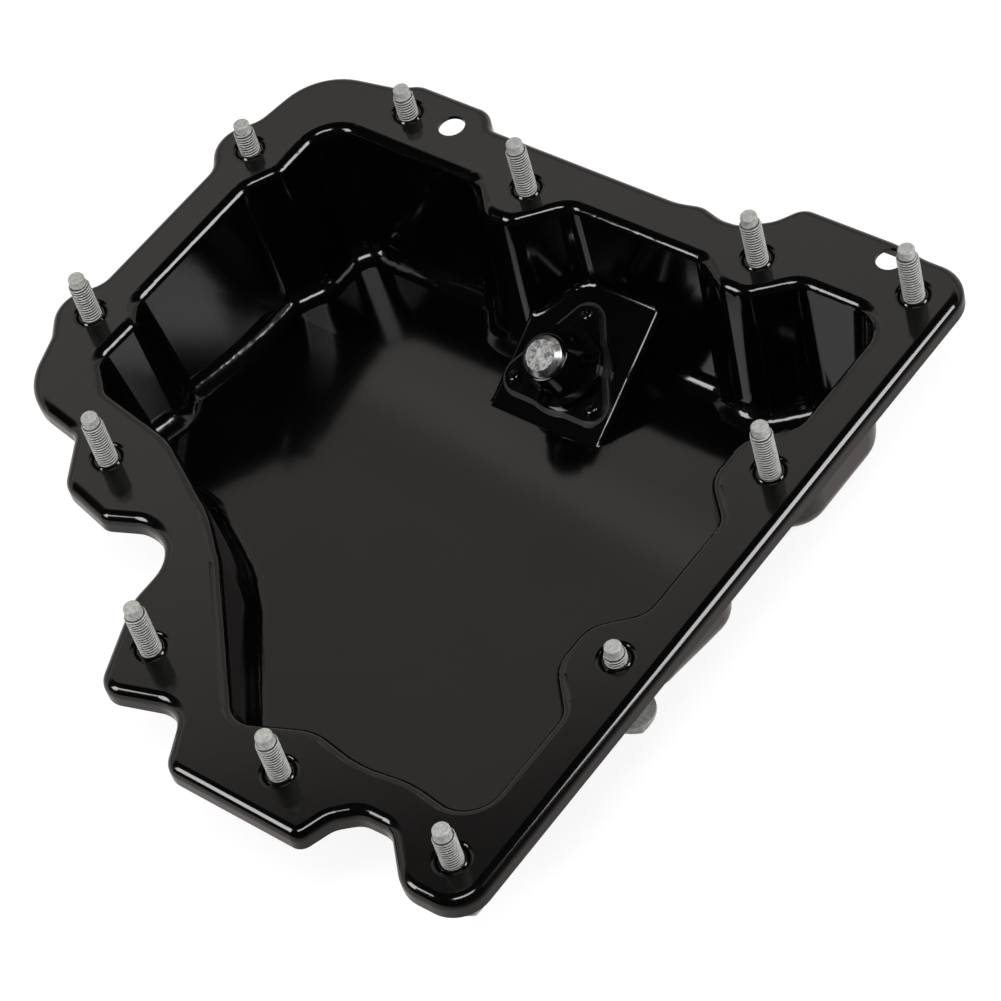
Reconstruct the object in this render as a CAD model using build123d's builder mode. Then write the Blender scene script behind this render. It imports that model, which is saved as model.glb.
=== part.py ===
from build123d import *
import math
import os

# Stamped engine oil pan, seen the way it bolts up: the sealing face is at z = 0 and the sump hangs below it.
# The origin is the corner bolt's axis on the sealing face, and +X runs along the straight front row of bolts.

# Sheet and rim
sheet = 1.5
rim_depth = 8.0
rim_bend = 4.0
rim_outline = [  # x, y of each corner where its two sides would meet, and the corner's radius
    (-16, -16, 13), (-16.5, 9.5, 14), (-0.5, 26, 9), (-1, 38.5, 9), (-7.5, 46, 9), (-19.5, 50.5, 5),
    (-19.5, 109.5, 8), (3, 121, 11), (-6.5, 152.5, 9), (29, 167.5, 20), (58.5, 167.5, 17), (57.5, 188, 12),
    (52, 201.5, 6), (57.5, 225.5, 10), (78, 238.5, 7), (83.5, 270.5, 26), (110, 280, 12), (126, 292, 14.5),
    (140, 280, 10), (206, 280, 10), (221, 292, 14.5), (235, 280.5, 12), (267.5, 276, 26), (274, 240.5, 8),
    (279, 232, 10), (279, 199, 8), (271.5, 191.5, 6), (271.5, 104, 25), (274, 94, 10), (271.5, 84, 15),
    (272, 77, 8), (279, 66.5, 14), (289.5, 60, 8), (289.5, 20, 30), (287.5, 6, 30), (287.5, -16, 15),
]

# Sump: its outline is the inner wall carried up to the sealing face
floor_depth = 62.0
wall_draft = 5.0
steeper_walls = {  # drafts of the walls round the pad, by the corner each wall starts at
    (234.5, 167.5): 7.8, (234.5, 155): 11.0, (251, 139.5): 8.7, (243.5, 66): 6.3,
}
floor_round = 8.5
mouth_round = 4.0
least_floor_corner = 14.0
sump_outline = [
    (14.5, 3, 12), (18, 31, 40), (15, 51, 50), (18.5, 73.5, 20), (7, 101, 11), (59.5, 151.5, 40), (73.5, 168.5, 60),
    (93, 205, 30), (99, 241.5, 10), (110, 254.5, 8), (130.5, 254, 8), (139.5, 260.5, 8), (203.5, 260.5, 8),
    (216, 253.5, 8), (246, 253.5, 13), (246, 179, 8), (234.5, 167.5, 9), (234.5, 155, 9), (251, 139.5, 10),
    (251, 79, 10), (243.5, 66, 10), (243.5, 54.5, 10), (257, 40, 10), (257, 3, 14), (201.5, 3, 10),
    (188.5, 17.5, 13), (168.5, 17.5, 13), (154.5, 3, 10), (111, 3, 10), (97, 17.5, 13), (78.5, 17.5, 13), (63.5, 3, 10),
]

# The floor is level on the right and climbs to the left from a soft bend
bend_front_x = 163.0
bend_back_x = 169.5
bend_back_y = 260.0
ramp_rise = 0.23
bend_round = 250.0

# Raised pad for the drain, tilted up to the right
pad_tilt = 30.0
pad_foot_x = 196.5
pad_low_y = 100.8
pad_high_y = 152.0
pad_draft = 20.0
pad_round = 3.0
pad_length = 130.0
pad_before_foot = 32.5
pad_below = 60.0

# How the floor's and the pad's faces are told from the rest
nearly_level = 0.9
same_direction = 0.9999
smallest_floor = 500.0

# Holes in the flange
bolt_spots = [
    (0, 0), (90, 0), (180, 0), (270, 0), (260.1, 60.2), (251.5, 159.5),
    (263.5, 226.5), (220.5, 272), (125.5, 272), (74.5, 218.5), (16.5, 146.5), (-1.5, 72.5),
]
dowel_spots = [(265, 206), (280.5, 17)]
dowel_radius = 5.25
neck_radius = 5.7
neck_reach = 3.5
neck_round = 1.5

# Captive bolts: each tip height is how far the bolt stands above the sealing face
thread_radius = 4.0
bolt_length = 35.0
dog_radius = 3.1
dog_length = 3.4
dog_round = 0.7
lead_in = 0.9
head_flats = 12.0
head_height = 6.5
washer_radius = 8.5
washer_height = 1.4
washer_slope = 1.0
head_chamfer_start = 0.3
head_chamfer_rise = 3.2
tip_at_stop = 23.5
tip_heights = [16.75, 6.75, 23.5, 23.5, 22.0, 23.5, 12.75, 13.5, 19.75, 22.5, 22.75, 20.5]

# Spacer sleeves round the bolts
running_gap = 0.05
sleeve_sunk = 0.6
sleeve_foot = tip_at_stop - bolt_length
sleeve_skirt_radius = 7.75
sleeve_top_round = 0.8
sleeve_edge = 0.4

# Drain insert, in the pad's own frame: heights are measured off the pad
insert_x = 216.8
insert_y = 126.7
rivet_circle = 21.2
rivet_hole_radius = 1.65
rivet_radius = 1.6
rivet_head_radius = 2.8
rivet_head_height = 1.2
rivet_dome_out = 0.75
rivet_dome_up = 0.7
rivet_tail_radius = 2.3
rivet_tail_height = 1.4
mandrel_radius = 1.0
ear_circle = 18.6
ear_radius = 6.2
plate_radius = 16.6
plate_height = 2.0
gasket_height = 1.0
gasket_margin = 1.8
step_radius = 16.0
step_height = 5.5
cone_foot_radius = 12.8
collar_radius = 9.3
collar_height = 19.0
collar_round = 0.9
spigot_radius = 11.95
spigot_reach = 1.8
lug_radius = 14.2
lug_width = 4.8
lug_depth = 3.5
lug_height = 8.0
lug_slot = 1.8
lug_slot_depth = 2.0

# Drain plug, screwed in from outside
plug_radius = 8.0
plug_end_radius = 6.0
plug_end_height = 22.0
plug_end_cone = 2.0
plug_flange_radius = 10.5
plug_flange_height = 3.0
plug_socket_flats = 8.0
plug_socket_depth = 7.0
seal_radius = 10.8
seal_height = 1.5


def is_outward(outline, i):
    """True where the outline, listed clockwise, bulges outward at this corner."""
    before = outline[i - 1]
    here = outline[i]
    after = outline[(i + 1) % len(outline)]
    first = Vector(here[0] - before[0], here[1] - before[1])
    second = Vector(after[0] - here[0], after[1] - here[1])
    return first.cross(second).Z < 0


def inset(outline, distances):
    """The corners of a clockwise outline after each side has moved inward by its own distance."""
    moved = []
    for i, here in enumerate(outline):
        before = outline[i - 1]
        after = outline[(i + 1) % len(outline)]
        first = Vector(here[0] - before[0], here[1] - before[1]).normalized()
        second = Vector(after[0] - here[0], after[1] - here[1]).normalized()
        turn = first.X * second.Y - first.Y * second.X
        first_step = distances[i]
        second_step = distances[i - 1]
        x = here[0] + (first.X * first_step - second.X * second_step) / turn
        y = here[1] + (first.Y * first_step - second.Y * second_step) / turn
        moved.append((x, y))
    return moved


def rounded(plane, corners, radii):
    """A closed face with the given corner radii."""
    with BuildSketch(plane) as face:
        with BuildLine():
            FilletPolyline(*corners, radius=radii, close=True)
        make_face()
    return face.sketch


def rim_face(height, margin):
    """The rim's outline, drawn in by a margin."""
    radii = []
    for i, (x, y, radius) in enumerate(rim_outline):
        change = -margin if is_outward(rim_outline, i) else margin
        radii.append(radius + change)
    moved = inset(rim_outline, [margin] * len(rim_outline))
    return rounded(Plane.XY.offset(height), moved, radii)


def sump_face(depth, skin):
    """The sump's outline at a depth. Skin is how far outside the inner wall it lies."""
    share = depth / floor_depth
    distances = []
    for x, y, radius in sump_outline:
        draft = steeper_walls.get((x, y), wall_draft)
        distances.append(depth * math.tan(math.radians(draft)) - skin)
    drawn_in = depth * math.tan(math.radians(wall_draft))
    radii = []
    for i, (x, y, radius) in enumerate(sump_outline):
        if is_outward(sump_outline, i):
            floor_radius = max(radius, least_floor_corner)
            radii.append(radius + (floor_radius - radius) * share + skin)
        else:
            radii.append(radius + drawn_in - skin)
    return rounded(Plane.XY.offset(-depth), inset(sump_outline, distances), radii)


bend_line = Vector(bend_back_x - bend_front_x, bend_back_y, 0).normalized()
climb = Vector(-bend_line.Y, bend_line.X, ramp_rise).normalized()
ramp_up = bend_line.cross(climb)
foot_x_dir = (math.cos(math.radians(pad_tilt)), 0, math.sin(math.radians(pad_tilt)))
pad_up = (-math.sin(math.radians(pad_tilt)), 0, math.cos(math.radians(pad_tilt)))
pad_foot = Plane(origin=(pad_foot_x, 0, -floor_depth), x_dir=foot_x_dir, z_dir=pad_up)
insert_z = (insert_x - pad_foot_x) * math.tan(math.radians(pad_tilt)) - floor_depth
pad_plane = Plane(origin=(insert_x, insert_y, insert_z), x_dir=foot_x_dir, z_dir=pad_up)


def under_ramp(skin):
    """Everything below the climbing part of the floor and the soft bend before it."""
    back = Vector(-ramp_up.X, -ramp_up.Y, 0).normalized()
    turn = math.acos(ramp_up.Z)
    radius = bend_round + skin
    reach = radius * math.tan(turn / 2)
    far = 3 * bend_back_y
    corner = Vector(bend_front_x, 0, -floor_depth - skin) + back * (skin * math.tan(turn / 2))
    level_end = (-reach, 0)
    middle = (radius * math.sin(turn / 2) - reach, radius * (1 - math.cos(turn / 2)))
    ramp_start = (reach * math.cos(turn), reach * math.sin(turn))
    ramp_end = (far * math.cos(turn), far * math.sin(turn))
    with BuildPart() as under:
        with BuildSketch(Plane(origin=corner, x_dir=back, z_dir=back.cross(Vector(0, 0, 1)))):
            with BuildLine():
                ThreePointArc(level_end, middle, ramp_start)
                Polyline(ramp_start, ramp_end, (ramp_end[0], -far), (-reach, -far), level_end)
            make_face()
        extrude(amount=far, both=True)
    return under.part


def under_pad(skin):
    """Everything below the tilted pad, with sloped sides."""
    with BuildPart() as under:
        with BuildSketch(pad_foot.offset(-skin)):
            with Locations((pad_length / 2 - pad_before_foot, (pad_low_y + pad_high_y) / 2)):
                Rectangle(pad_length, pad_high_y - pad_low_y - 2 * skin)
        extrude(amount=-pad_below, taper=-pad_draft)
    return under.part


def floor_edges(body):
    """The edges round the outside of the floor's faces."""
    floors = [face for face in body.faces() if face.normal_at().Z < -nearly_level and face.area > smallest_floor]
    edges = [edge for face in floors for edge in face.edges()]
    middles = [edge.center() for edge in edges]
    return [edge for edge in edges if sum((middle - edge.center()).length < running_gap for middle in middles) == 1]


def sump_solid(skin, drop):
    """The sump as a solid block. Skin and drop are how far its walls and floor lie outside the inner ones."""
    with BuildPart() as block:
        loft([sump_face(0, skin).face(), sump_face(floor_depth + drop, skin).face()], ruled=True)
        add(under_ramp(drop), mode=Mode.SUBTRACT)
        fillet(floor_edges(block), radius=floor_round + drop)
        add(under_pad(drop), mode=Mode.SUBTRACT)
        pad = [face for face in block.faces() if abs(face.normal_at().dot(Vector(*pad_up))) > same_direction]
        fillet(pad[0].edges(), radius=pad_round)
    return block.part


wall_skin = sheet / math.cos(math.radians(wall_draft))
outer_block = sump_solid(wall_skin, sheet)
hollow = sump_solid(0, 0)

with BuildPart() as rim_hollow:
    add(rim_face(-rim_depth, sheet))
    extrude(amount=rim_depth - sheet)
    fillet(rim_hollow.faces().sort_by(Axis.Z)[-1].edges(), radius=rim_bend - sheet)

with BuildPart() as pan_shell:
    add(rim_face(-rim_depth, 0))
    extrude(amount=rim_depth)
    fillet(pan_shell.faces().sort_by(Axis.Z)[-1].edges(), radius=rim_bend)
    add(rim_hollow.part, mode=Mode.SUBTRACT)
    add(outer_block)
    under_side = [face for face in pan_shell.faces().filter_by(Axis.Z) if abs(face.center().Z + sheet) < running_gap]
    fillet(under_side[0].inner_wires()[0].edges(), radius=mouth_round - sheet)
    add(hollow, mode=Mode.SUBTRACT)
    sealing_face = pan_shell.faces().filter_by(Axis.Z).sort_by(Axis.Z)[-1]
    fillet(sealing_face.inner_wires()[0].edges(), radius=mouth_round)
    with BuildSketch(Plane.XY.offset(-neck_reach)):
        with Locations(*bolt_spots):
            Circle(neck_radius + sheet)
    extrude(amount=neck_reach - sheet)
    with BuildSketch(Plane.XY):
        with Locations(*bolt_spots):
            Circle(neck_radius)
    extrude(amount=-neck_reach, mode=Mode.SUBTRACT)
    lips = pan_shell.edges().filter_by(GeomType.CIRCLE).group_by(Axis.Z)[-1]
    lips = [edge for edge in lips if abs(edge.radius - neck_radius) < 0.01]
    fillet(lips, radius=neck_round)
    with BuildSketch(Plane.XY):
        with Locations(*dowel_spots):
            Circle(dowel_radius)
    extrude(amount=-neck_reach, mode=Mode.SUBTRACT)
    with BuildSketch(pad_plane.offset(pad_round)):
        Circle(spigot_radius + running_gap)
        with PolarLocations(rivet_circle, 3):
            Circle(rivet_hole_radius)
    extrude(amount=-2 * pad_round - sheet, mode=Mode.SUBTRACT)

with BuildPart() as gasket:
    with BuildSketch(pad_plane):
        with PolarLocations(ear_circle, 3):
            Circle(ear_radius)
        make_hull()
        Circle(plate_radius)
        offset(amount=gasket_margin)
        Circle(spigot_radius + running_gap, mode=Mode.SUBTRACT)
        with PolarLocations(rivet_circle, 3):
            Circle(rivet_hole_radius, mode=Mode.SUBTRACT)
    extrude(amount=gasket_height)

with BuildPart() as drain_insert:
    plate_plane = pad_plane.offset(gasket_height)
    with BuildSketch(plate_plane):
        with PolarLocations(ear_circle, 3):
            Circle(ear_radius)
        make_hull()
        Circle(plate_radius)
    extrude(amount=plate_height)
    with BuildSketch(plate_plane):
        Circle(step_radius)
    extrude(amount=step_height)
    with BuildSketch(plate_plane.offset(plate_height)):
        with PolarLocations(lug_radius, 3, start_angle=60):
            Rectangle(lug_depth, lug_width)
    extrude(amount=lug_height - plate_height)
    with BuildSketch(plate_plane.offset(lug_height)):
        with PolarLocations(lug_radius, 3, start_angle=60):
            Rectangle(lug_depth, lug_slot)
    extrude(amount=-lug_slot_depth, mode=Mode.SUBTRACT)
    with BuildSketch(plate_plane.offset(step_height)):
        Circle(cone_foot_radius)
    with BuildSketch(pad_plane.offset(collar_height)):
        Circle(collar_radius)
    loft()
    circles = drain_insert.edges().filter_by(GeomType.CIRCLE)
    collar_edge = circles.sort_by(Axis(pad_plane.origin, pad_up))[-1]
    fillet(collar_edge, radius=collar_round)
    with BuildSketch(pad_plane.offset(-spigot_reach)):
        Circle(spigot_radius)
    extrude(amount=spigot_reach + gasket_height)
    with BuildSketch(pad_plane.offset(-spigot_reach)):
        Circle(plug_radius + running_gap)
    extrude(amount=spigot_reach + collar_height, mode=Mode.SUBTRACT)
    with BuildSketch(plate_plane):
        with PolarLocations(rivet_circle, 3):
            Circle(rivet_hole_radius)
    extrude(amount=plate_height, mode=Mode.SUBTRACT)

seal_plane = pad_plane.offset(-spigot_reach - seal_height)
with BuildPart() as seal_ring:
    with BuildSketch(seal_plane):
        Circle(seal_radius)
        Circle(plug_radius + 2 * running_gap, mode=Mode.SUBTRACT)
    extrude(amount=seal_height)

with BuildPart() as drain_plug:
    with BuildSketch(seal_plane.offset(-plug_flange_height)):
        Circle(plug_flange_radius)
    extrude(amount=plug_flange_height)
    with BuildSketch(seal_plane):
        Circle(plug_radius)
    extrude(amount=plug_end_height - plug_end_cone + spigot_reach + seal_height)
    with BuildSketch(pad_plane.offset(plug_end_height - plug_end_cone)):
        Circle(plug_radius)
    with BuildSketch(pad_plane.offset(plug_end_height)):
        Circle(plug_end_radius)
    loft()
    with BuildSketch(seal_plane.offset(-plug_flange_height)):
        RegularPolygon(plug_socket_flats / 2, 6, major_radius=False)
    extrude(amount=plug_socket_depth, mode=Mode.SUBTRACT)


def rivet():
    """One blind rivet, on the pad's centre."""
    grip_top = gasket_height + plate_height
    with BuildPart() as body:
        with BuildSketch(Plane.XZ):
            with BuildLine():
                Polyline(
                    (0, -sheet - rivet_tail_height),
                    (rivet_radius, -sheet - rivet_tail_height),
                    (rivet_tail_radius, -sheet - rivet_tail_height / 2),
                    (rivet_tail_radius, -sheet),
                    (rivet_radius, -sheet),
                    (rivet_radius, grip_top),
                    (rivet_head_radius, grip_top),
                )
                ThreePointArc(
                    (rivet_head_radius, grip_top),
                    (rivet_dome_out * rivet_head_radius, grip_top + rivet_dome_up * rivet_head_height),
                    (mandrel_radius, grip_top + rivet_head_height),
                )
                Polyline(
                    (mandrel_radius, grip_top + rivet_head_height),
                    (mandrel_radius, grip_top + rivet_head_height / 2),
                    (0, grip_top + rivet_head_height / 2),
                    (0, -sheet - rivet_tail_height),
                )
            make_face()
        revolve(axis=Axis.Z)
    return body.part


def bolt(tip):
    """One captive bolt: its head is below the flange and its dog point is up."""
    seat = tip - bolt_length
    shoulder = tip - dog_length
    with BuildPart() as body:
        with BuildSketch(Plane.XY.offset(seat - head_height)):
            RegularPolygon(head_flats / 2, 6, major_radius=False)
        extrude(amount=head_height)
        with BuildSketch(Plane.XZ):
            with BuildLine():
                Polyline(
                    (0, seat - head_height),
                    (head_flats / 2 - head_chamfer_start, seat - head_height),
                    (head_flats, seat - head_height + head_chamfer_rise),
                    (head_flats, seat),
                    (0, seat),
                    close=True,
                )
            make_face()
        revolve(axis=Axis.Z, mode=Mode.INTERSECT)
        with BuildSketch(Plane.XZ):
            with BuildLine():
                Polyline(
                    (0, seat - washer_height - washer_slope),
                    (head_flats / 2, seat - washer_height - washer_slope),
                    (washer_radius, seat - washer_height),
                    (washer_radius, seat),
                    (thread_radius, seat),
                    (thread_radius, shoulder - lead_in),
                    (dog_radius, shoulder),
                    (dog_radius, tip - dog_round),
                )
                RadiusArc((dog_radius, tip - dog_round), (dog_radius - dog_round, tip), -dog_round)
                Polyline((dog_radius - dog_round, tip), (0, tip), (0, seat - washer_height - washer_slope))
            make_face()
        revolve(axis=Axis.Z)
    return body.part


def sleeve():
    """One spacer sleeve, pushed up into a bolt hole from below."""
    with BuildPart() as body:
        with BuildSketch(Plane.XZ):
            with BuildLine():
                Polyline(
                    (thread_radius + running_gap, sleeve_foot),
                    (sleeve_skirt_radius - sleeve_edge, sleeve_foot),
                    (sleeve_skirt_radius, sleeve_foot + sleeve_edge),
                    (sleeve_skirt_radius, -neck_reach),
                    (neck_radius - running_gap, -neck_reach),
                    (neck_radius - running_gap, -sleeve_sunk - sleeve_top_round),
                    (neck_radius - running_gap - sleeve_top_round, -sleeve_sunk),
                    (thread_radius + running_gap + sleeve_edge, -sleeve_sunk),
                    (thread_radius + running_gap, -sleeve_sunk - sleeve_edge),
                    close=True,
                )
            make_face()
        revolve(axis=Axis.Z)
    return body.part


os.makedirs("parts", exist_ok=True)

pan_shell.part.label = "pan_shell"
export_step(pan_shell.part, "parts/pan_shell.step")
gasket.part.label = "drain_gasket"
export_step(gasket.part, "parts/drain_gasket.step")
drain_insert.part.label = "drain_insert"
export_step(drain_insert.part, "parts/drain_insert.step")
seal_ring.part.label = "drain_seal_ring"
export_step(seal_ring.part, "parts/drain_seal_ring.step")
drain_plug.part.label = "drain_plug"
export_step(drain_plug.part, "parts/drain_plug.step")

for number in range(3):
    with BuildPart() as placed_rivet:
        with Locations(pad_plane):
            with PolarLocations(rivet_circle, 1, start_angle=120 * number):
                add(rivet())
    placed_rivet.part.label = f"rivet_{number + 1}"
    export_step(placed_rivet.part, f"parts/rivet_{number + 1}.step")

for number, (spot, tip) in enumerate(zip(bolt_spots, tip_heights), start=1):
    with BuildPart() as placed_bolt:
        with Locations(spot):
            add(bolt(tip))
    placed_bolt.part.label = f"bolt_{number:02d}"
    export_step(placed_bolt.part, f"parts/bolt_{number:02d}.step")
    with BuildPart() as placed_sleeve:
        with Locations(spot):
            add(sleeve())
    placed_sleeve.part.label = f"sleeve_{number:02d}"
    export_step(placed_sleeve.part, f"parts/sleeve_{number:02d}.step")
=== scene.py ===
import math
import bmesh
import bpy
from mathutils import Matrix, Vector


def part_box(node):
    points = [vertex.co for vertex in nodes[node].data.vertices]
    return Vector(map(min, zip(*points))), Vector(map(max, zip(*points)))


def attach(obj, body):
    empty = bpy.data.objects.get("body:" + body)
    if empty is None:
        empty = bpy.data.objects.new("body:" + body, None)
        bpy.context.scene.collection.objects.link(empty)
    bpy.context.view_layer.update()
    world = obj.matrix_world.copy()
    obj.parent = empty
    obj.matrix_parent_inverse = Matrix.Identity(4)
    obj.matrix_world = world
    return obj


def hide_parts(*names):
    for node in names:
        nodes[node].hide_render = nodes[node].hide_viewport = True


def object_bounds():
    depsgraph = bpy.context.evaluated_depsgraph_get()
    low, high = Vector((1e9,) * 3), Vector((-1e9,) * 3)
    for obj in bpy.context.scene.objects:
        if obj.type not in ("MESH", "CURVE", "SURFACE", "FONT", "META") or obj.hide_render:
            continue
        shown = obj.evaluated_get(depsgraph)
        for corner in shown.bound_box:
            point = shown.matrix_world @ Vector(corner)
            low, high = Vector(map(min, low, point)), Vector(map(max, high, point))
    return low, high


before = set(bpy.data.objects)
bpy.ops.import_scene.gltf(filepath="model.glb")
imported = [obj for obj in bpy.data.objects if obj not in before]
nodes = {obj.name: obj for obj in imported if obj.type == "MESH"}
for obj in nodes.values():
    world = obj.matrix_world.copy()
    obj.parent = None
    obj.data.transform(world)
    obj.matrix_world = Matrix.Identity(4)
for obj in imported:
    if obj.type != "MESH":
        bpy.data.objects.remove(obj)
cad_low, cad_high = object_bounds()

MM = 0.001

# Materials. These are the noise values between which a number or a colour changes.
NUMBER_SPAN = (0.3, 0.7)
COLOR_SPAN = (0.35, 0.65)


def material(name, color, metallic, rough):
    """A material of one plain colour, which the functions below vary."""
    mat = bpy.data.materials.new(name)
    mat.use_nodes = True
    shader = mat.node_tree.nodes["Principled BSDF"]
    shader.inputs["Base Color"].default_value = (*color, 1)
    shader.inputs["Metallic"].default_value = metallic
    shader.inputs["Roughness"].default_value = rough
    return mat


def noise(mat, scale, detail=3.0):
    """A noise value over the object's own coordinates, which are in metres."""
    tree = mat.node_tree
    coords = tree.nodes.new("ShaderNodeTexCoord")
    tex = tree.nodes.new("ShaderNodeTexNoise")
    tex.inputs["Scale"].default_value = scale
    tex.inputs["Detail"].default_value = detail
    tree.links.new(coords.outputs["Object"], tex.inputs["Vector"])
    return tex.outputs["Fac"]


def vary_roughness(mat, value, low, high):
    """A noise value, mapped onto the shader's roughness."""
    tree = mat.node_tree
    span = tree.nodes.new("ShaderNodeMapRange")
    span.inputs["From Min"].default_value = NUMBER_SPAN[0]
    span.inputs["From Max"].default_value = NUMBER_SPAN[1]
    span.inputs["To Min"].default_value = low
    span.inputs["To Max"].default_value = high
    tree.links.new(value, span.inputs["Value"])
    shader = tree.nodes["Principled BSDF"]
    tree.links.new(span.outputs["Result"], shader.inputs["Roughness"])


def tint(mat, value, low, high):
    """A noise value, mapped onto two colours."""
    tree = mat.node_tree
    ramp = tree.nodes.new("ShaderNodeValToRGB")
    for element, place, color in zip(ramp.color_ramp.elements, COLOR_SPAN, (low, high)):
        element.position = place
        element.color = (*color, 1)
    tree.links.new(value, ramp.inputs["Fac"])
    shader = tree.nodes["Principled BSDF"]
    tree.links.new(ramp.outputs["Color"], shader.inputs["Base Color"])


def bump(mat, value, strength, distance):
    """A noise value as fine relief, whose height is in metres."""
    tree = mat.node_tree
    relief = tree.nodes.new("ShaderNodeBump")
    relief.inputs["Strength"].default_value = strength
    relief.inputs["Distance"].default_value = distance
    tree.links.new(value, relief.inputs["Height"])
    shader = tree.nodes["Principled BSDF"]
    tree.links.new(relief.outputs["Normal"], shader.inputs["Normal"])


paint = material("pan_paint", (0.0012, 0.0012, 0.0011), 0.0, 0.05)
tint(paint, noise(paint, 40.0), (0.0009, 0.0009, 0.0008), (0.0017, 0.0016, 0.0015))
vary_roughness(paint, noise(paint, 25.0), 0.09, 0.12)
bump(paint, noise(paint, 160.0, 2.0), 0.02, 0.0004)

sleeve_black = material("sleeve_black", (0.002, 0.002, 0.002), 0.0, 0.1)
tint(sleeve_black, noise(sleeve_black, 300.0), (0.001, 0.001, 0.001), (0.003, 0.003, 0.003))
bump(sleeve_black, noise(sleeve_black, 900.0), 0.08, 0.0001)

insert_black = material("insert_black", (0.002, 0.002, 0.002), 0.0, 0.08)
tint(insert_black, noise(insert_black, 200.0), (0.0012, 0.0012, 0.0012), (0.003, 0.003, 0.0028))
vary_roughness(insert_black, noise(insert_black, 150.0), 0.05, 0.11)
bump(insert_black, noise(insert_black, 500.0), 0.05, 0.0001)

rubber = material("gasket_rubber", (0.006, 0.006, 0.006), 0.0, 0.4)
tint(rubber, noise(rubber, 400.0), (0.004, 0.004, 0.004), (0.008, 0.008, 0.008))
bump(rubber, noise(rubber, 1200.0), 0.2, 0.0001)


def zinc_flake(name, low, high):
    """The matt coating of the bolts, between two colours, or a darker copy of it that paints
    shade.
    """
    mat = material(name, high, 0.15, 0.6)
    tint(mat, noise(mat, 900.0, 4.0), low, high)
    vary_roughness(mat, noise(mat, 300.0), 0.5, 0.66)
    bump(mat, noise(mat, 2500.0), 0.1, 0.00004)
    return mat


zinc = zinc_flake("matte_zinc", (0.36, 0.365, 0.35), (0.54, 0.545, 0.52))
# A dark copy of the zinc: painted shade for the thread's inner flanks and roots
painted_shade_zinc = zinc_flake("zinc_painted_shade", (0.02, 0.02, 0.019), (0.05, 0.05, 0.047))

bright = material("bright_steel", (0.75, 0.75, 0.74), 1.0, 0.3)
tint(bright, noise(bright, 900.0, 4.0), (0.45, 0.45, 0.45), (0.85, 0.85, 0.84))
vary_roughness(bright, noise(bright, 500.0), 0.22, 0.42)
bump(bright, noise(bright, 1500.0), 0.25, 0.0001)

copper = material("copper_seal", (0.72, 0.43, 0.28), 1.0, 0.35)
tint(copper, noise(copper, 400.0), (0.62, 0.35, 0.22), (0.78, 0.48, 0.32))


def smooth(obj, degrees):
    """Smooth shading with hard edges above an angle."""
    for face in obj.data.polygons:
        face.use_smooth = True
    obj.data.set_sharp_from_angle(angle=math.radians(degrees))


CAD_EDGE_ANGLE = 30
looks = {
    "pan_shell": paint, "drain_gasket": rubber, "drain_insert": insert_black,
    "drain_seal_ring": copper, "drain_plug": bright,
}
for name, obj in nodes.items():
    if name.startswith("bolt"):
        mat = zinc
    elif name.startswith("sleeve") or name.startswith("rivet"):
        mat = sleeve_black
    else:
        mat = looks[name]
    obj.data.materials.clear()
    obj.data.materials.append(mat)
    smooth(obj, CAD_EDGE_ANGLE)

# Bolts: the head comes from the CAD node, the thread and dog point are made here.
# The lengths are in mm, CREST, ROOT, FLANK and DOG are radii.
BOLTS = 12
BOLT_LENGTH = 35.0
PITCH = 1.25
CREST = 3.99
ROOT = 3.34
FLANK = (CREST + ROOT) / 2
DOG = 3.1
DOG_LENGTH = 3.4
DOG_ROUND = 0.7
DOG_ROUND_STEPS = 4
DIMPLE_RIM = 0.5
DIMPLE_DEPTH = 0.12
LEAD_IN = 0.9
SHANK_REACH = 4.05
SEAT_OVERLAP = 0.05
SEAT_TOLERANCE = 0.01
WELD = 0.002
SLIVER = 0.001
AROUND = 40
THREAD_EDGE_ANGLE = 38
# How much further round each bolt's thread starts than the one before, in radians
TURN_STEP = 1.3

# One turn of the thread: places along the pitch, from 0 to 1, with the radius there
thread_profile = [
    (0.0, CREST), (0.07, CREST), (0.22, FLANK), (0.36, ROOT), (0.64, ROOT), (0.93, CREST),
]
# The bands of that profile with painted shade, counted from its first: the inner flank and the
# root, made darker where the ridge above would shade them
PAINTED_SHADE_BANDS = (2, 3)


def ring_points(radius, height):
    points = []
    for j in range(AROUND):
        angle = math.tau * j / AROUND
        points.append((radius * math.cos(angle), radius * math.sin(angle), height))
    return points


def thread_rows(bottom, top):
    """Rows of points: a helical thread with its lead-in below the top."""
    turns = int((top - bottom) / PITCH) + 2
    rows = []
    for turn in range(-1, turns):
        for place, radius in thread_profile:
            row = []
            for j in range(AROUND + 1):
                height = bottom + PITCH * (turn + place + j / AROUND)
                height = min(max(height, bottom), top)
                lead = DOG + (CREST - DOG) * min(1, (top - height) / LEAD_IN)
                angle = math.tau * j / AROUND
                r = min(radius, lead)
                row.append((r * math.cos(angle), r * math.sin(angle), height))
            rows.append(row)
    return rows


def dog_point_rings(top, tip):
    """Rings of points: the dog point, its rounded edge and the dimple in its end."""
    rings = [ring_points(DOG, top), ring_points(DOG, tip - DOG_ROUND)]
    flat = DOG - DOG_ROUND
    for step in range(1, DOG_ROUND_STEPS + 1):
        angle = math.radians(90 * step / DOG_ROUND_STEPS)
        radius = flat + DOG_ROUND * math.cos(angle)
        rings.append(ring_points(radius, tip - DOG_ROUND + DOG_ROUND * math.sin(angle)))
    rings.append(ring_points(flat - DIMPLE_RIM, tip - DIMPLE_DEPTH))
    return rings


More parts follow.
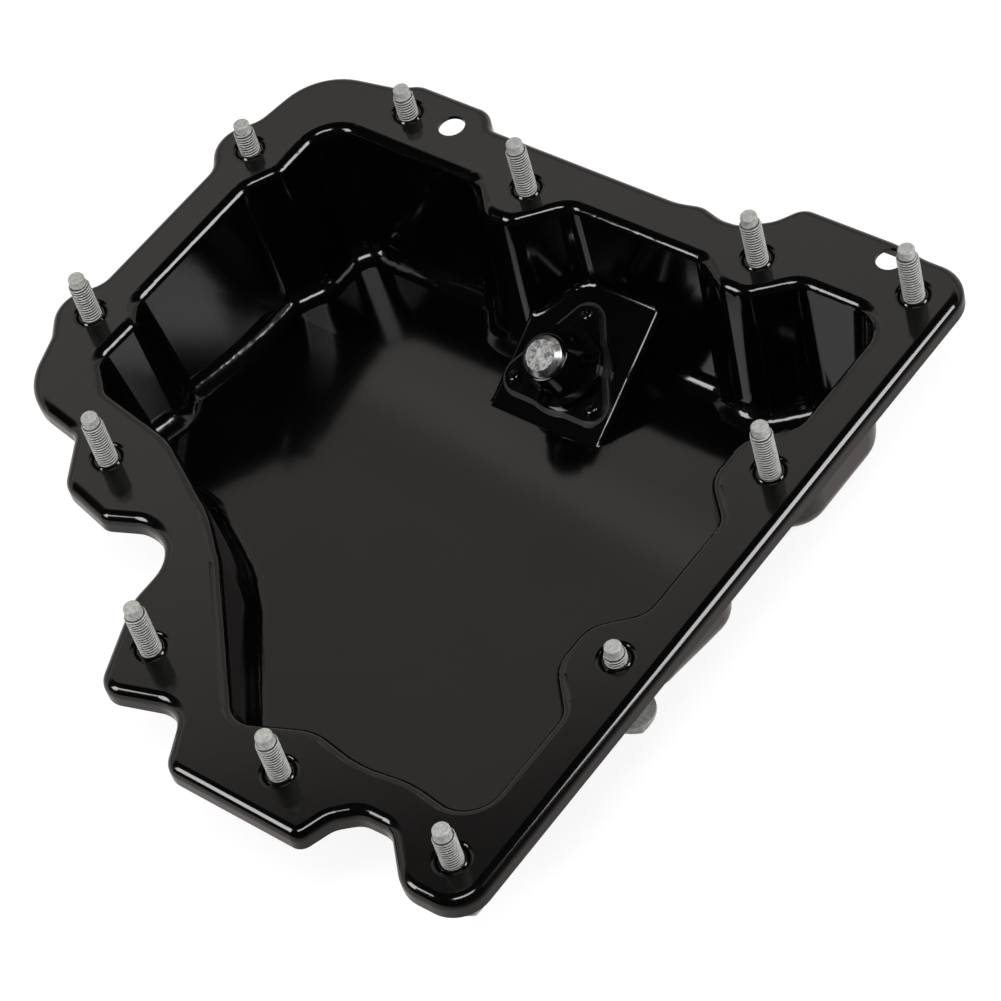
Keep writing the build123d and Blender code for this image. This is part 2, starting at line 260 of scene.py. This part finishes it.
def make_bolt(name, turned):
    """A bolt with the head of its CAD node, and a thread turned by an angle."""
    low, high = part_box(name)
    cx = (low[0] + high[0]) / 2
    cy = (low[1] + high[1]) / 2
    tip = high[2] / MM
    seat = tip - BOLT_LENGTH
    mesh = bmesh.new()
    mesh.from_mesh(nodes[name].data)
    shank = []
    for face in mesh.faces:
        middle = face.calc_center_median()
        away = math.hypot(middle.x - cx, middle.y - cy)
        if away < SHANK_REACH * MM and middle.z > (seat - SEAT_TOLERANCE) * MM:
            shank.append(face)
    bmesh.ops.delete(mesh, geom=shank, context="FACES")
    cos_t = math.cos(turned)
    sin_t = math.sin(turned)

    def place(point):
        x, y, z = point
        across = cx + (x * cos_t - y * sin_t) * MM
        along = cy + (x * sin_t + y * cos_t) * MM
        return mesh.verts.new((across, along, z * MM))

    dog_bottom = tip - DOG_LENGTH
    rows = thread_rows(seat - SEAT_OVERLAP, dog_bottom)
    made = [[place(point) for point in row] for row in rows]
    for number, (lower, upper) in enumerate(zip(made, made[1:])):
        # Faces in these bands get the dark zinc, painted shade in the thread's hollows
        shaded_band = number % len(thread_profile) in PAINTED_SHADE_BANDS
        for j in range(AROUND):
            face = mesh.faces.new((lower[j], lower[j + 1], upper[j + 1], upper[j]))
            face.material_index = 1 if shaded_band else 0
    rings = [[place(point) for point in ring] for ring in dog_point_rings(dog_bottom, tip)]
    for lower, upper in zip(rings, rings[1:]):
        for j in range(AROUND):
            after = (j + 1) % AROUND
            mesh.faces.new((lower[j], lower[after], upper[after], upper[j]))
    mesh.faces.new(rings[-1])
    bmesh.ops.remove_doubles(mesh, verts=mesh.verts, dist=WELD * MM)
    bmesh.ops.dissolve_degenerate(mesh, edges=mesh.edges, dist=SLIVER * MM)
    data = bpy.data.meshes.new(name + "_thread")
    mesh.to_mesh(data)
    mesh.free()
    data.materials.append(zinc)
    data.materials.append(painted_shade_zinc)
    bolt = bpy.data.objects.new(name + "_threaded", data)
    bpy.context.collection.objects.link(bolt)
    smooth(bolt, THREAD_EDGE_ANGLE)
    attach(bolt, name + "_body")
    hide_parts(name)


for number in range(1, BOLTS + 1):
    make_bolt("bolt_%02d" % number, number * TURN_STEP)

# Floor, light and background
WARM = (1.0, 0.93, 0.9)


def math_node(tree, operation, *values):
    """A number worked out from sockets or plain numbers."""
    made = tree.nodes.new("ShaderNodeMath")
    made.operation = operation
    for socket, value in zip(made.inputs, values):
        if isinstance(value, bpy.types.NodeSocket):
            tree.links.new(value, socket)
        else:
            socket.default_value = value
    return made.outputs[0]


def warm_grey(level):
    return (level * WARM[0], level * WARM[1], level * WARM[2], 1)


def levels(tree, value, steps):
    """A warm grey for a number from 0 to 1, from a list of (number, level)."""
    ramp = tree.nodes.new("ShaderNodeValToRGB")
    elements = ramp.color_ramp.elements
    for element, (place, level) in zip(elements, (steps[0], steps[-1])):
        element.position = place
        element.color = warm_grey(level)
    for place, level in steps[1:-1]:
        elements.new(place).color = warm_grey(level)
    tree.links.new(value, ramp.inputs["Fac"])
    return ramp.outputs["Color"]


def join(tree, factor, first, second):
    """The first shader where the factor is 0, the second where it is 1."""
    mix = tree.nodes.new("ShaderNodeMixShader")
    tree.links.new(factor, mix.inputs[0])
    tree.links.new(first, mix.inputs[1])
    tree.links.new(second, mix.inputs[2])
    return mix.outputs[0]


# The camera sees a white floor with a faint shadow, and the paint mirrors a glowing floor that
# is darker toward the front: painted shade, whose lower levels near the pan paint the pan's
# shadow. Its levels go from FLOOR_FRONT to FLOOR_BACK, along Y.
FLOOR_SIZE = 7
FLOOR_GAP = 0.0005
FLOOR_GLOW = 0.84
FLOOR_SHADE = 0.3
FLOOR_FRONT = -0.3
FLOOR_BACK = 0.3
floor_glow_and_painted_shadow_levels = [(0.0, 0.08), (0.2, 0.2), (0.4, 0.55), (1.0, 0.85)]
MIDDLE = Vector((0.135, 0.13, 0))

floor_z = cad_low[2] - FLOOR_GAP
bpy.ops.mesh.primitive_plane_add(size=FLOOR_SIZE, location=(0.13, 0.13, floor_z))
floor = bpy.context.object
floor.name = "floor"
floor_mat = material("floor_white", (0.7, 0.7, 0.7), 0.0, 0.9)
tree = floor_mat.node_tree
rays = tree.nodes.new("ShaderNodeLightPath")
glow = tree.nodes.new("ShaderNodeEmission")
glow.inputs["Strength"].default_value = FLOOR_GLOW
shade = tree.nodes.new("ShaderNodeBsdfDiffuse")
shade.inputs["Color"].default_value = (FLOOR_SHADE, FLOOR_SHADE, FLOOR_SHADE, 1)
seen = tree.nodes.new("ShaderNodeAddShader")
tree.links.new(glow.outputs[0], seen.inputs[0])
tree.links.new(shade.outputs[0], seen.inputs[1])
position = tree.nodes.new("ShaderNodeNewGeometry")
split = tree.nodes.new("ShaderNodeSeparateXYZ")
tree.links.new(position.outputs["Position"], split.inputs[0])
depth = tree.nodes.new("ShaderNodeMapRange")
depth.inputs["From Min"].default_value = FLOOR_FRONT
depth.inputs["From Max"].default_value = FLOOR_BACK
tree.links.new(split.outputs["Y"], depth.inputs["Value"])
# The glow the paint mirrors: painted light, dimmed toward the front and near the pan as painted
# shadow
sheet = tree.nodes.new("ShaderNodeEmission")
tree.links.new(levels(tree, depth.outputs[0], floor_glow_and_painted_shadow_levels), sheet.inputs["Color"])
mirrored = math_node(
    tree, "MAXIMUM", rays.outputs["Is Glossy Ray"], rays.outputs["Is Transmission Ray"])
surface = join(tree, mirrored, tree.nodes["Principled BSDF"].outputs[0], sheet.outputs[0])
surface = join(tree, rays.outputs["Is Camera Ray"], surface, seen.outputs[0])
tree.links.new(surface, tree.nodes["Material Output"].inputs["Surface"])
floor.data.materials.append(floor_mat)

# The white backdrop stands behind the object, seen from the camera, with a dark room above
# it. Its levels go by the height over the distance along its direction, times HEIGHT_SCALE.
BACKDROP = math.radians(42)
HEIGHT_SCALE = 0.5
SMALLEST = 0.001
backdrop_levels = [
    (0.0, 0.7), (0.16, 0.48), (0.35, 0.51), (0.41, 0.56), (0.45, 0.82), (0.48, 0.92),
    (0.527, 0.84), (0.575, 0.77), (0.595, 0.7), (0.627, 0.66), (0.645, 0.54), (0.654, 0.38),
    (0.664, 0.28), (0.671, 0.21), (0.7, 0.12), (0.77, 0.05), (1.0, 0.02),
]
world = bpy.data.worlds.new("studio")
bpy.context.scene.world = world
world.use_nodes = True
tree = world.node_tree
tree.nodes.clear()
coords = tree.nodes.new("ShaderNodeTexCoord")
split = tree.nodes.new("ShaderNodeSeparateXYZ")
tree.links.new(coords.outputs["Generated"], split.inputs[0])
along_x = math_node(tree, "MULTIPLY", split.outputs["X"], math.cos(BACKDROP))
along_y = math_node(tree, "MULTIPLY", split.outputs["Y"], math.sin(BACKDROP))
along = math_node(tree, "MAXIMUM", math_node(tree, "ADD", along_x, along_y), SMALLEST)
scaled_z = math_node(tree, "MULTIPLY", split.outputs["Z"], HEIGHT_SCALE)
height = math_node(tree, "DIVIDE", scaled_z, along)
sky = tree.nodes.new("ShaderNodeBackground")
tree.links.new(levels(tree, height, backdrop_levels), sky.inputs["Color"])
plain = tree.nodes.new("ShaderNodeBackground")
plain.inputs["Color"].default_value = (1, 1, 1, 1)
plain.inputs["Strength"].default_value = 1.0
rays = tree.nodes.new("ShaderNodeLightPath")
out = tree.nodes.new("ShaderNodeOutputWorld")
backdrop = join(tree, rays.outputs["Is Camera Ray"], sky.outputs[0], plain.outputs[0])
tree.links.new(backdrop, out.inputs["Surface"])


def softbox(name, azimuth, elevation, away, width, tall, level):
    """A softbox that looks as bright as level and faces the middle of the pan.

    It stands at these angles, in degrees, and so far away from it, in metres.
    """
    data = bpy.data.lights.new(name, "AREA")
    data.shape = "RECTANGLE"
    data.size = width
    data.size_y = tall
    data.energy = level * math.pi * width * tall
    box = bpy.data.objects.new(name, data)
    bpy.context.collection.objects.link(box)
    a = math.radians(azimuth)
    e = math.radians(elevation)
    toward = Vector((math.cos(e) * math.cos(a), math.cos(e) * math.sin(a), math.sin(e)))
    box.location = MIDDLE + away * toward
    box.rotation_euler = (-toward).to_track_quat("-Z", "Y").to_euler()
    box.visible_camera = False


softbox("softbox_right", -60, 25, 1.5, 0.42, 0.75, 12)
softbox("softbox_left", 149, 35.5, 0.76, 0.22, 0.30, 11)
softbox("softbox_top", -125, 64, 1.5, 0.92, 0.32, 11)

# Camera, where the photograph was taken from: its right, up and back directions and place
CAMERA_RIGHT = Vector((0.59301, -0.77816, -0.20690))
CAMERA_UP = Vector((0.68860, 0.35694, 0.63121))
CAMERA_BACK = Vector((-0.41733, -0.51678, 0.74751))
CAMERA_PLACE = Vector((-0.3776, -0.5473, 0.9016))
camera_data = bpy.data.cameras.new("camera")
camera = bpy.data.objects.new("camera", camera_data)
bpy.context.collection.objects.link(camera)
camera_data.sensor_width = 36.0
camera_data.lens = 126.09
camera_data.clip_start = 0.01
camera_data.clip_end = 20.0
turn = Matrix((CAMERA_RIGHT, CAMERA_UP, CAMERA_BACK)).transposed().to_4x4()
camera.matrix_world = Matrix.Translation(CAMERA_PLACE) @ turn
bpy.context.scene.camera = camera
bpy.context.scene.view_settings.view_transform = "Standard"
